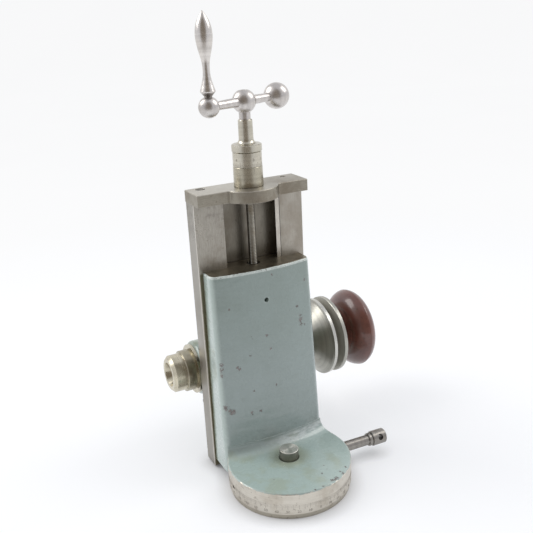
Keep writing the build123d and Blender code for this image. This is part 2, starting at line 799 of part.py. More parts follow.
def knob_nut():
    low = knob_mid + knob_half - 1.18
    nut = on_spindle(turned([
        (tube_r + SEAT, low), (10.6, low), (11.0, low + 0.4), (11.0, low + 3.4), (10.4, low + 4.0),
        (tube_r + SEAT, low + 4.0),
    ]))
    for turn in (0, 180):
        nut -= on_spindle(Rot(0, 0, turn) * Pos(9.2, 0, 0) * rod(1.0, low + 2, low + 5))
    return nut


PIECES = {
    "angle_bracket": angle_bracket,
    "leadscrew_nut": leadscrew_nut,
    "nut_set_screw": nut_set_screw,
    "pivot_stud": pivot_stud,
    "clamp_plunger": clamp_plunger,
    "clamp_screw": clamp_screw,
    "slide_plate": slide_plate,
    "gib_strip": gib_strip,
    "gib_screws": gib_screws,
    "gib_lock_nuts": gib_lock_nuts,
    "end_plate": end_plate,
    "end_plate_screw": end_plate_screw,
    "end_plate_dowel": end_plate_dowel,
    "bearing_sleeve": bearing_sleeve,
    "screw_bush": screw_bush,
    "spindle_housing": spindle_housing,
    "housing_bolts": housing_bolts,
    "front_bearing": lambda: bearing_bush(housing_left),
    "rear_bearing": lambda: bearing_bush(housing_right - bush_length),
    "housing_oilers": housing_oilers,
    "leadscrew": leadscrew,
    "dial": dial,
    "dial_spring": dial_spring,
    "dial_cap": dial_cap,
    "cross_pins": cross_pins,
    "crank_handle": crank_handle,
    "crank_grip": crank_grip,
    "spindle": spindle,
    "nose_ring": nose_ring,
    "preload_nut": preload_nut,
    "pulley": pulley,
    "pulley_key": pulley_key,
    "pulley_set_screw": pulley_set_screw,
    "draw_tube": draw_tube,
    "knob_ferrule": knob_ferrule,
    "hand_knob": hand_knob,
    "knob_nut": knob_nut,
}

os.makedirs("parts", exist_ok=True)
for node, make in PIECES.items():
    export_step(make(), f"parts/{node}.step")
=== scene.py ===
from math import cos, pi, radians, sin, tau

import bmesh
import bpy
from mathutils import Matrix, Vector

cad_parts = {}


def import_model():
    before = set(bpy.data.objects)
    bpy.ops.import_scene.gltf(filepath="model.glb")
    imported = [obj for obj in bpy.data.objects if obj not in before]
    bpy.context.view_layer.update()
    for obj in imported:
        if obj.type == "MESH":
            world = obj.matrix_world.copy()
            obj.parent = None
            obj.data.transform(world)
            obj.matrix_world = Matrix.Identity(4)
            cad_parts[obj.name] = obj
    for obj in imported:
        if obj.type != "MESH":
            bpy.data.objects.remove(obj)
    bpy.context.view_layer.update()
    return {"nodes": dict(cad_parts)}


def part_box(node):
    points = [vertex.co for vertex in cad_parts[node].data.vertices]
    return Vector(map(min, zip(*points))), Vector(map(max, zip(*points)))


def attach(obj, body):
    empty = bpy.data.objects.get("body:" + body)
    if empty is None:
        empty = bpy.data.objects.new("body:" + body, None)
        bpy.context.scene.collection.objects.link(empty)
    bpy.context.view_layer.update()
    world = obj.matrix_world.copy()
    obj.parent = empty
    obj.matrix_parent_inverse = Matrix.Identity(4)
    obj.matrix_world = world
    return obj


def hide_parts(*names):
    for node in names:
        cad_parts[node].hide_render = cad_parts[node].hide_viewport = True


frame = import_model()
NODES = frame["nodes"]
MM = 0.001

# ---- places taken from the frame ----


def middle(node):
    low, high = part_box(node)
    return (low + high) / 2


UP = Vector((0, 0, 1))
ALONG = Vector((1, 0, 0))
CAST_LOW, CAST_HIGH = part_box("angle_bracket")
STUD = middle("pivot_stud")
SCREW = middle("dial")
SPINDLE = middle("nose_ring")
CLAMP = middle("clamp_screw")
CLAMP_WAY = (Vector((CLAMP.x, CLAMP.y, 0))).normalized()
GRIP = middle("crank_grip")
ARM_WAY = Vector((SCREW.x - GRIP.x, SCREW.y - GRIP.y, 0)).normalized()
KNOB = middle("hand_knob")
FOOT_R = -CAST_LOW.y
COLUMN_TOP = CAST_HIGH.z
FACE_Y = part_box("slide_plate")[0].y   # the slide's face against the column
FOOT_TOP = 18.2 * MM
FOOT_TAPER = 3.6 * MM                 # below this the rim draws in
SKIRT_R = FOOT_R - 0.07 * MM          # radius of the scale's lines and figures
TOMMY_X = 67.3 * MM                   # tommy hole's place along the clamp screw
TOMMY_R = 1.8 * MM
TOMMY_WAY = Vector((0, cos(radians(31)), -sin(radians(31))))
BELT_GROOVE = (67.3 * MM, 73.2 * MM, 28.3 * MM)   # the pulley's: from, to, and the rims' inner radius
GRIP_DARKER = (6.9 * MM, 5.4 * MM)     # heights on the grip between which its foot turns darker


# ---- materials ----


def colour(red, green, blue):
    """Linear RGBA of a display colour given in 0 to 255."""
    def linear(value):
        value /= 255
        return value / 12.92 if value <= 0.04045 else ((value + 0.055) / 1.055) ** 2.4
    return (linear(red), linear(green), linear(blue), 1.0)


class Shader:
    """Builds one node tree from plain calls: a new material's, or that of the world it is given."""

    def __init__(self, owner, coordinates="Object"):
        self.owner = bpy.data.materials.new(owner) if isinstance(owner, str) else owner
        self.owner.use_nodes = True
        self.tree = self.owner.node_tree
        self.tree.nodes.clear()
        self.place = self.node("ShaderNodeTexCoord").outputs[coordinates]

    def node(self, kind, **settings):
        made = self.tree.nodes.new(kind)
        for name, value in settings.items():
            setattr(made, name, value)
        return made

    def plug(self, made, key, value):
        if isinstance(value, bpy.types.NodeSocket):
            self.tree.links.new(value, made.inputs[key])
        else:
            made.inputs[key].default_value = value

    def plug_all(self, made, *pairs):
        for key, value in pairs:
            self.plug(made, key, value)

    def math(self, operation, first, second=0.0):
        made = self.node("ShaderNodeMath", operation=operation)
        self.plug_all(made, (0, first), (1, second))
        return made.outputs[0]

    def times(self, first, second):
        return self.math("MULTIPLY", first, second)

    def vector(self, operation, first, second=(0, 0, 0), out=0):
        made = self.node("ShaderNodeVectorMath", operation=operation)
        self.plug_all(made, (0, first), (1, second))
        return made.outputs[out]

    def split(self, vector):
        made = self.node("ShaderNodeSeparateXYZ")
        self.plug(made, 0, vector)
        return made.outputs

    def join(self, x, y, z):
        made = self.node("ShaderNodeCombineXYZ")
        self.plug_all(made, (0, x), (1, y), (2, z))
        return made.outputs[0]

    def noise(self, scale, detail=3.0, rough=0.5, at=None, stretch=(1, 1, 1)):
        made = self.node("ShaderNodeTexNoise")
        self.plug(made, "Vector", self.vector("MULTIPLY", at or self.place, stretch))
        self.plug_all(made, ("Scale", scale), ("Detail", detail), ("Roughness", rough))
        return made.outputs[0]

    def rings(self, along, away, scale, detail=3, rough=0.7):
        """Noise that changes only along an axis and away from it, as a lathe tool leaves it."""
        at = self.join(self.times(along, scale), self.times(away, scale), 0)
        return self.noise(1.0, detail=detail, rough=rough, at=at)

    def step(self, value, low, high):
        """0 below low and 1 above high, smooth between. Falls instead if low is above high."""
        made = self.node("ShaderNodeMapRange", interpolation_type="SMOOTHSTEP")
        if low > high:
            self.plug_all(made, ("From Min", high), ("From Max", low), ("To Min", 1.0), ("To Max", 0.0))
        else:
            self.plug_all(made, ("From Min", low), ("From Max", high))
        self.plug(made, "Value", value)
        return made.outputs[0]

    def spread(self, value, low, high):
        """A noise value of about 0.3 to 0.7 spread over low to high."""
        made = self.node("ShaderNodeMapRange")
        self.plug_all(made, ("Value", value), ("From Min", 0.3), ("From Max", 0.7))
        self.plug_all(made, ("To Min", low), ("To Max", high))
        return made.outputs[0]

    def mix(self, amount, first, second):
        made = self.node("ShaderNodeMix", data_type="RGBA")
        self.plug_all(made, ("Factor", amount), (6, first), (7, second))
        return made.outputs[2]

    def mix_normal(self, amount, first, second):
        made = self.node("ShaderNodeMix", data_type="VECTOR")
        self.plug_all(made, ("Factor", amount), (4, first), (5, second))
        return made.outputs[1]

    def over(self, base, mask, amount, tone):
        """base with a display colour over it, by amount where mask is 1."""
        return self.mix(self.times(mask, amount), base, colour(*tone))

    def mix_value(self, amount, first, second):
        made = self.node("ShaderNodeMix")
        self.plug_all(made, ("Factor", amount), (2, first), (3, second))
        return made.outputs[0]

    def any(self, *masks):
        total = masks[0]
        for mask in masks[1:]:
            total = self.math("MAXIMUM", total, mask)
        return total

    def all(self, *masks):
        total = masks[0]
        for mask in masks[1:]:
            total = self.times(total, mask)
        return total

    def bump(self, height, distance, strength=1.0, normal=None):
        made = self.node("ShaderNodeBump")
        self.plug_all(made, ("Height", height), ("Distance", distance), ("Strength", strength))
        if normal:
            self.plug(made, "Normal", normal)
        return made.outputs[0]

    def bevel(self, radius):
        made = self.node("ShaderNodeBevel", samples=4)
        self.plug(made, "Radius", radius)
        return made.outputs[0]

    def edges(self, radius, low=0.01, high=0.12):
        """1 along edges whose faces turn within that radius."""
        flat = self.node("ShaderNodeNewGeometry").outputs["Normal"]
        return self.step(self.vector("DOT_PRODUCT", self.bevel(radius), flat, out=1), 1 - low, 1 - high)

    def facing(self):
        """The parts of the surface's own normal."""
        return self.split(self.node("ShaderNodeNewGeometry").outputs["Normal"])

    def round_axis(self, origin, axis):
        """(distance along an axis, distance from it) of the shaded point."""
        offset = self.vector("SUBTRACT", self.place, origin)
        along = self.vector("DOT_PRODUCT", offset, axis, out=1)
        on_axis = self.node("ShaderNodeVectorMath", operation="SCALE")
        self.plug_all(on_axis, (0, axis), ("Scale", along))
        away = self.vector("LENGTH", self.vector("SUBTRACT", offset, on_axis.outputs[0]), out=1)
        return along, away

    def surface(self, **inputs):
        made = self.node("ShaderNodeBsdfPrincipled")
        for key, value in inputs.items():
            self.plug(made, key.replace("_", " "), value)
        out = self.node("ShaderNodeOutputMaterial")
        self.tree.links.new(made.outputs[0], out.inputs[0])
        return self.owner


def turned_metal(
    name, origin, axis, tone=(205, 202, 196), rough=0.24, dirt=0.3, line=0.002, edge=0.5,
    bore=None, darker_span=None, groove=None,
):
    """Lathe-turned steel: fine rings about its axis, blotches of tarnish, edges lighter in colour as rubbed
    metal and as a painted highlight. line is the rings' depth in mm. bore is a cross hole, (place, way,
    radius), its walls painted dark as painted shade; darker_span darkens the colour from one place along
    the axis to another; groove, (from, to, radius), is duller and greyer inside that radius, between rims
    painted brighter as a painted highlight."""
    s = Shader(name)
    along, away = s.round_axis(origin, axis)
    rings = s.rings(along, away, 2600)
    broad = s.rings(along, away, 420, detail=2, rough=0.5)
    blotch = s.noise(110, detail=6, rough=0.6)
    pits = s.step(s.noise(900, detail=2), 0.68, 0.76)
    stained = s.times(s.step(blotch, 0.48, 0.72), dirt)
    dull = [0.86 * value for value in tone]
    base = s.mix(s.spread(broad, 0.0, 0.8), colour(*tone), colour(*dull))
    base = s.mix(stained, base, colour(124, 109, 88))
    base = s.over(base, pits, 0.8 * dirt, (84, 76, 64))
    # edges lighter in colour: rubbed metal, and a painted highlight along them
    base = s.over(base, s.edges(0.25 * MM), edge, (230, 228, 222))
    if darker_span:
        base = s.over(base, s.step(along, *darker_span), 0.7, (92, 86, 80))
    if bore:
        place, way, radius = bore
        # the cross hole's walls painted dark: painted shade inside the hole
        inside = s.step(s.round_axis(place, way)[1], radius + 0.05 * MM, radius - 0.02 * MM)
        base = s.mix(inside, base, colour(46, 42, 38))
    shine = s.spread(blotch, rough * 0.9, rough * 1.2)
    roughness = s.math("ADD", shine, s.spread(rings, -6 * line, 8 * line))
    metallic = 1.0
    if groove:
        start, end, radius = groove
        inside = s.all(
            s.step(along, start, start + 0.3 * MM), s.step(along, end, end - 0.3 * MM),
            s.step(away, radius, radius - 0.4 * MM),
        )
        # the rims' lands painted brighter: a painted highlight, and less rough there
        rim = s.step(away, radius + 0.1 * MM, radius + 0.6 * MM)
        base = s.over(base, rim, 0.8, (236, 235, 230))
        base = s.mix(inside, base, colour(168, 166, 157))
        roughness = s.mix_value(inside, s.mix_value(rim, roughness, 0.2), 0.5)
        metallic = s.mix_value(inside, 1.0, 0.55)
    normal = s.bump(rings, line * MM, normal=s.bevel(0.15 * MM))
    return s.surface(Base_Color=base, Metallic=metallic, Roughness=roughness, Normal=normal)


def ground_metal(name, grain=(60, 60, 4), tone=(178, 173, 163), rough=0.34, dirt=0.55, edge=0.4, marks_and_light=None):
    """Surface-ground steel or iron: straight fine scratches, stains and rubbed edges."""
    s = Shader(name)
    scratches = s.noise(60, detail=5, rough=0.75, stretch=grain)
    cloud = s.noise(42, detail=6, rough=0.62)
    spots = s.step(s.noise(420, detail=3, rough=0.6), 0.62, 0.72)
    light, dull = colour(*tone), colour(*[0.8 * value for value in tone])
    base = s.mix(s.spread(scratches, 0, 1), light, dull)
    base = s.over(base, s.step(cloud, 0.44, 0.68), dirt, (120, 108, 92))
    base = s.over(base, spots, 0.45, (92, 82, 70))
    # a part's own marks, and on some parts painted light and painted shade, laid over the colour
    if marks_and_light:
        base = marks_and_light(s, base)
    base = s.over(base, s.edges(0.4 * MM), edge, (226, 222, 214))
    roughness = s.spread(cloud, rough * 0.8, rough * 1.35)
    fine = s.bump(scratches, 0.010 * MM, normal=s.bevel(0.25 * MM))
    normal = s.bump(s.noise(300, detail=3), 0.015 * MM, normal=fine)
    return s.surface(Base_Color=base, Metallic=0.92, Roughness=roughness, Normal=normal)


def slide_wear(s, base):
    """The slide: its left side painted bright as painted light, a lighter strip on the right, a channel
    darkened as oil and as painted shade, and oil where the casting hides it.
    """
    x, y, z = s.split(s.place)
    nx, ny, _ = s.facing()
    smudge = s.noise(90, detail=5, rough=0.65)
    # a lighter strip on the right
    base = s.over(base, s.step(x, 19 * MM, 24 * MM), 0.22, (216, 210, 200))
    # the left side face painted bright: painted light
    base = s.over(base, s.step(nx, -0.7, -0.9), 0.65, (236, 233, 226))
    corner = s.all(s.step(z, 155 * MM, 176 * MM), s.step(x, -10 * MM, -20 * MM), s.step(smudge, 0.42, 0.6))
    base = s.over(base, corner, 0.5, (104, 96, 92))
    # the channel's floor darker: oil, and painted shade in the recess
    oil_and_shade_channel = s.step(y, FACE_Y + 1 * MM, FACE_Y + 1.4 * MM)
    base = s.over(base, oil_and_shade_channel, 0.62, (92, 86, 74))
    face = s.all(s.step(ny, -0.7, -0.9), s.step(y, FACE_Y + 1 * MM, FACE_Y + 0.6 * MM))
    height = s.math("ADD", z, s.spread(smudge, -5 * MM, 5 * MM))
    below = s.step(z, COLUMN_TOP, COLUMN_TOP - 2 * MM)
    rim = s.all(face, below, s.step(x, -33.5 * MM, -35 * MM))
    base = s.mix(s.all(rim, s.spread(smudge, 0.75, 1.0)), base, colour(92, 88, 66))
    hidden = s.step(height, COLUMN_TOP + 2 * MM, COLUMN_TOP - 12 * MM)
    oiled = s.all(face, hidden, s.spread(smudge, 0.2, 0.5))
    return s.mix(oiled, base, colour(112, 107, 84))


def plate_wear(s, base):
    """The end plate: its top painted brighter as painted light, more so on the left."""
    nz = s.facing()[2]
    left = s.step(s.split(s.place)[0], 20 * MM, -10 * MM)
    painted_top_light = s.all(s.step(nz, 0.5, 0.95), s.mix_value(left, 0.12, 0.55))
    return s.mix(painted_top_light, base, colour(222, 218, 208))


def worn_stud(name, centre):
    """The pivot stud: dull steel whose end was faced on the lathe, so that fine rings spread the light,
    and a side painted darker as painted shade."""
    s = Shader(name)
    along, away = s.round_axis(centre, UP)
    rings = s.rings(away, along, 1900)
    side = s.step(s.facing()[2], 0.6, 0.3)
    cloud = s.noise(260, detail=5, rough=0.6)
    base = s.mix(s.spread(rings, 0, 1), colour(242, 240, 232), colour(204, 202, 192))
    base = s.over(base, s.step(cloud, 0.5, 0.7), 0.5, (128, 124, 108))
    # the side painted darker: painted shade
    base = s.over(base, side, 0.8, (112, 110, 103))
    base = s.over(base, s.edges(0.3 * MM), 0.5, (226, 224, 218))
    normal = s.bump(rings, 0.012 * MM, normal=s.bevel(0.15 * MM))
    tangent = s.node("ShaderNodeTangent", direction_type="RADIAL", axis="Z").outputs[0]
    return s.surface(
        Base_Color=base, Metallic=0.9, Roughness=s.spread(cloud, 0.30, 0.42), Normal=normal,
        Anisotropic=0.85, Tangent=tangent,
    )


# Chips in the paint, in mm: of the column's front, (x, z, radius), and of the foot's top, (x, y, radius)
FRONT_CHIPS = (
    (29, 127, 0.8), (22, 111, 0.8), (24, 104, 0.9), (24, 101, 1.4), (24, 98, 1.1), (27, 97, 0.7),
    (-25, 119, 0.6), (-2, 97, 0.8), (0, 87.5, 0.7), (-14, 86, 0.6), (-23, 79.5, 1.0), (-22, 78.3, 0.8),
    (-14, 61.5, 0.7), (2, 62, 0.6), (-16.7, 47, 0.8), (-16.4, 45.5, 0.6), (-10.4, 46.7, 0.8),
    (-33.2, 53.5, 1.9), (-29, 50, 1.9), (-31, 51.5, 1.2), (-33.5, 83, 1.2), (-34.3, 79.5, 1.9),
    (-33.6, 76, 1.4), (5, 136, 0.7),
)
FOOT_CHIPS = (
    (9, -27, 0.7), (14, -24.5, 0.45), (14, -20, 0.4), (10.5, -36, 1.1), (12.5, -36.2, 1.0),
    (14, -35.6, 1.2), (19.5, -31, 0.6), (25, -28.7, 0.7), (-20, -17, 0.4), (3, -38.5, 0.7),
    (-3, -39, 0.6), (20, -33.5, 1.0),
)


def chips(s, across, places):
    """1 inside small ragged spots. across drops one coordinate, so that a spot reaches any depth."""
    ragged = s.noise(1100, detail=3, rough=0.6)
    flat = s.vector("MULTIPLY", s.place, across)
    nearest = None
    for first, second, radius in places:
        centre = (first * MM, 0, second * MM) if across[1] == 0 else (first * MM, second * MM, 0)
        away = s.math("DIVIDE", s.vector("DISTANCE", flat, centre, out=1), radius * MM)
        nearest = away if nearest is None else s.math("MINIMUM", nearest, away)
    return s.step(s.math("ADD", nearest, s.spread(ragged, -0.9, 0.9)), 1.0, 0.75)


def casting_paint(name, machined):
    """Grey-green enamel on a rough casting, chipped to metal. machined: with the bracket's bare faces."""
    s = Shader(name)
    x, y, z = s.split(s.place)
    nx, ny, nz = s.facing()
    away = s.round_axis((STUD.x, STUD.y, 0), UP)[1]
    wobble = s.spread(s.noise(260, detail=4, rough=0.65), -1, 1)

    # the enamel, cooler low on the column, with cloudy dirt; faces turned up painted lighter as painted
    # light, more so on the foot's right
    cloud = s.spread(s.noise(30, detail=5, rough=0.6), 0, 1)
    paint = s.mix(cloud, colour(134, 148, 143), colour(143, 158, 155))
    paint = s.over(paint, s.step(z, 120 * MM, 60 * MM), 0.6, (155, 168, 168))
    dirt = s.step(s.noise(150, detail=5, rough=0.7), 0.5, 0.75)
    paint = s.over(paint, dirt, 0.25, (122, 136, 128))
    # faces turned up painted lighter: painted light from above
    lit_from_above = s.step(nz, 0.3, 0.95)
    paint = s.over(paint, lit_from_above, 0.8, (169, 188, 182))
    paint = s.mix(s.all(lit_from_above, s.step(x, 4 * MM, 26 * MM), 0.5), paint, colour(184, 204, 199))

    # grease round the stud and in streaks over the foot
    near_stud = s.step(s.math("ADD", away, s.times(wobble, 1.5 * MM)), 17 * MM, 7 * MM)
    grease = s.all(near_stud, s.step(z, 15 * MM, 18 * MM), s.step(z, 30 * MM, 22 * MM))
    low = s.all(s.step(z, 30 * MM, 20 * MM), s.step(z, 12 * MM, 18 * MM))
    streak = s.all(s.step(s.noise(75, detail=4), 0.48, 0.66), low)
    paint = s.over(paint, s.any(grease, s.times(streak, 0.6)), 0.5, (150, 154, 118))

    # paint made lighter: the edges, as worn paint and a painted highlight; the left side, as painted light;
    # the sweep from column to foot and the lip below the top, as painted highlights
    worn = s.all(s.edges(2.2 * MM, 0.02, 0.3), s.step(s.noise(170, detail=5, rough=0.7), 0.36, 0.6))
    paint = s.over(paint, worn, 0.75, (206, 217, 212))
    # the left side face painted lighter: painted light from the left
    paint = s.over(paint, s.step(nx, -0.3, -0.85), 0.6, (190, 205, 199))
    # the sweep from column to foot: streaks painted pale as a painted highlight
    sweep = s.all(
        s.step(z, FOOT_TOP + 0.6 * MM, FOOT_TOP + 2.2 * MM),
        s.step(z, FOOT_TOP + 8.5 * MM, FOOT_TOP + 5 * MM),
    )
    highlight_streaks = s.step(s.noise(75, detail=5, rough=0.7, stretch=(1, 1, 3)), 0.40, 0.58)
    fillet_highlight = s.all(sweep, s.step(x, -14 * MM, 14 * MM), highlight_streaks, s.step(y, 30 * MM, 24 * MM))
    paint = s.over(paint, fillet_highlight, 0.75, (214, 223, 222))
    # the lip below the top painted pale: a painted highlight along the top edge
    lip = s.all(
        s.step(z, COLUMN_TOP - 2.1 * MM, COLUMN_TOP - 1.2 * MM),
        s.step(y, FACE_Y - 1 * MM, FACE_Y - 3 * MM),
    )
    uneven = s.spread(s.noise(420, detail=4, rough=0.7), 0.3, 1.0)
    paint = s.mix(s.all(lip, uneven), paint, colour(226, 234, 230))

    # old oil along the joint with the slide
    joint = s.all(
        s.step(y, FACE_Y - 4 * MM, FACE_Y - 0.8 * MM), s.step(z, 142 * MM, 125 * MM), s.step(ny, -0.4, -0.1),
    )
    paint = s.mix(s.all(joint, s.spread(s.noise(120, detail=4), 0.3, 0.85)), paint, colour(110, 116, 84))

    # chips
    rubbed = s.all(s.edges(0.9 * MM, 0.03, 0.25), s.step(s.noise(210, detail=4, rough=0.65), 0.61, 0.67))
    dots = s.all(s.step(s.noise(520, detail=2), 0.75, 0.765), s.step(s.noise(40), 0.5, 0.65))
    spots = s.any(rubbed, dots)
    if machined:
        front = s.all(s.step(ny, -0.5, -0.8), s.step(z, 19 * MM, 21 * MM))
        spots = s.any(
            spots,
            s.all(chips(s, (1, 0, 1), FRONT_CHIPS), front),
            s.all(chips(s, (1, 1, 0), FOOT_CHIPS), s.step(z, FOOT_TOP - 1.7 * MM, FOOT_TOP - 1.0 * MM)),
            s.all(lip, s.step(s.noise(500, detail=3, rough=0.7), 0.62, 0.68)),
        )
    chipped = s.mix(s.spread(s.noise(600), 0, 1), colour(92, 84, 82), colour(142, 133, 131))
    base = s.mix(s.times(spots, 0.9), paint, chipped)

    # relief: the casting's lumps, the enamel's peel and the chips' depth
    cast = s.noise(62, detail=2, rough=0.5, stretch=(0.5, 0.5, 1.6))
    lumps = s.bump(cast, 0.6 * MM, normal=s.bevel(0.5 * MM))
    peel = s.bump(s.noise(620, detail=3, rough=0.55), 0.014 * MM, normal=lumps)
    normal = s.bump(s.math("SUBTRACT", 1.0, spots), 0.1 * MM, normal=peel)
    roughness = s.spread(s.noise(180, detail=4), 0.22, 0.32)
    metallic = s.times(spots, 0.5)
    glossy = s.all(
        s.step(z, FOOT_TOP + 0.3 * MM, FOOT_TOP + 1.3 * MM),
        s.step(z, FOOT_TOP + 12.8 * MM, FOOT_TOP + 7.8 * MM),
    )
    gloss = s.mix_value(spots, s.mix_value(glossy, 0.6, 1.0), 0.1)
    if machined:
        bare = bare_mask(s, wobble, away)
        metal, dull, flat = bare_metal(s)
        base, normal = s.mix(bare, base, metal), s.mix_normal(bare, normal, flat)
        roughness, metallic = s.mix_value(bare, roughness, dull), s.any(s.times(bare, 0.9), metallic)
        gloss = s.mix_value(bare, gloss, 0.0)
    return s.surface(
        Base_Color=base, Metallic=metallic, Roughness=roughness, Normal=normal,
        Coat_Weight=gloss, Coat_Roughness=0.12, Coat_Normal=normal,
    )


def bare_mask(s, wobble, away):
    """The foot's turned rim, the slide's face, the top and the underside: all free of paint."""
    _, y, z = s.split(s.place)

    def ragged(value, amount):
        return s.math("ADD", value, s.times(wobble, amount))

    skirt = s.all(
        s.step(away, FOOT_R - 1.6 * MM, FOOT_R - 1.2 * MM),
        s.step(away, FOOT_R + 0.4 * MM, FOOT_R + 0.2 * MM),
        s.step(ragged(z, 0.5 * MM), FOOT_TOP - 0.35 * MM, FOOT_TOP - 0.75 * MM),
    )
    back = s.step(ragged(y, 0.2 * MM), FACE_Y - 0.5 * MM, FACE_Y - 0.25 * MM)
    top = s.step(ragged(z, 0.12 * MM), COLUMN_TOP - 0.25 * MM, COLUMN_TOP - 0.1 * MM)
    return s.any(skirt, back, top, s.step(z, 0.6 * MM, 0.2 * MM))


def bare_metal(s):
    """Colour, roughness and relief of the machined iron; dark and oily on the top."""
    x, _, z = s.split(s.place)
    high = s.step(z, COLUMN_TOP - 0.6 * MM, COLUMN_TOP - 0.3 * MM)
    turning = s.noise(1.0, detail=4, rough=0.7, at=s.join(s.times(z, 2200), 0, s.times(x, 30)))
    metal = s.mix(s.spread(turning, 0, 1), colour(220, 215, 205), colour(196, 190, 178))
    smears = s.spread(s.noise(150, detail=5, rough=0.7), 0, 1)
    oily = s.mix(smears, colour(92, 86, 68), colour(158, 149, 128))
    metal = s.mix(s.times(high, 0.9), metal, oily)
    # the drawn-in rim at the bottom painted darker: painted shade under the foot's edge
    taper_shade = s.step(z, FOOT_TAPER + 0.1 * MM, FOOT_TAPER - 0.2 * MM)
    metal = s.over(metal, taper_shade, 0.4, (150, 143, 122))
    stains = s.step(s.noise(60, detail=6, rough=0.65), 0.46, 0.7)
    metal = s.over(metal, stains, 0.4, (150, 136, 116))
    pits = s.step(s.noise(480, detail=3), 0.62, 0.72)
    metal = s.over(metal, pits, 0.4, (112, 100, 86))
    relief = s.bump(turning, 0.006 * MM, normal=s.bevel(0.2 * MM))
    return metal, s.spread(s.noise(90, detail=4), 0.28, 0.45), relief


def polished_wood():
    """Dark red-brown turned wood under a clear polish."""
    s = Shader("knob_rosewood")
    offset = s.vector("SUBTRACT", s.place, tuple(KNOB))
    warp = s.noise(30, detail=3, at=offset)
    fibres = s.noise(95, detail=6, rough=0.65, at=offset, stretch=(3.0, 0.35, 3.0))
    warped = s.vector("ADD", offset, s.join(s.times(warp, 10 * MM), 0, 0))
    bands = s.noise(26, detail=3, at=warped, stretch=(4, 0.5, 2.2))
    pores = s.step(s.noise(620, detail=2, at=offset, stretch=(1, 0.12, 1)), 0.6, 0.72)
    base = s.mix(s.spread(bands, 0, 1), colour(90, 49, 39), colour(120, 70, 57))
    base = s.mix(s.spread(fibres, 0, 0.45), base, colour(66, 34, 27))
    base = s.over(base, pores, 0.4, (44, 20, 16))
    normal = s.bump(fibres, 0.02 * MM)
    return s.surface(Base_Color=base, Roughness=0.38, Normal=normal, Coat_Weight=0.8, Coat_Roughness=0.12)


def dark_metal(name, tone=(96, 92, 86), rough=0.42):
    """Cloudy plain or blackened steel with rubbed edges."""
    s = Shader(name)
    cloud = s.noise(260, detail=5, rough=0.6)
    base = s.mix(s.spread(cloud, 0, 1), colour(*tone), colour(*[0.6 * value for value in tone]))
    base = s.over(base, s.edges(0.2 * MM), 0.7, (180, 176, 168))
    normal = s.bump(s.noise(1400, detail=2), 0.01 * MM, normal=s.bevel(0.12 * MM))
    roughness = s.spread(cloud, rough, rough + 0.15)
    return s.surface(Base_Color=base, Metallic=0.85, Roughness=roughness, Normal=normal)


def bronze():
    """Cloudy, slightly spotted bearing bronze."""
    s = Shader("bearing_bronze")
    cloud = s.noise(180, detail=5, rough=0.6)
    base = s.mix(s.spread(cloud, 0, 1), colour(178, 142, 84), colour(132, 100, 60))
    base = s.over(base, s.step(s.noise(700), 0.6, 0.7), 0.4, (84, 66, 44))
    normal = s.bump(s.noise(1200, detail=2), 0.01 * MM, normal=s.bevel(0.15 * MM))
    return s.surface(Base_Color=base, Metallic=0.95, Roughness=s.spread(cloud, 0.3, 0.5), Normal=normal)


def engraved():
    """Dark fill of engraved lines and figures, worn thin in places."""
    s = Shader("engraved_fill")
    worn = s.step(s.noise(350, detail=4, rough=0.6), 0.38, 0.60)
    base = s.mix(worn, colour(126, 119, 108), colour(168, 161, 150))
    roughness = s.mix_value(worn, 0.7, 0.5)
    normal = s.bump(s.noise(900), 0.01 * MM)
    return s.surface(Base_Color=base, Metallic=0.3, Roughness=roughness, Normal=normal)


def paint_over(nodes, material):
    for name in nodes:
        mesh = NODES[name].data
        mesh.materials.clear()
        mesh.materials.append(material)


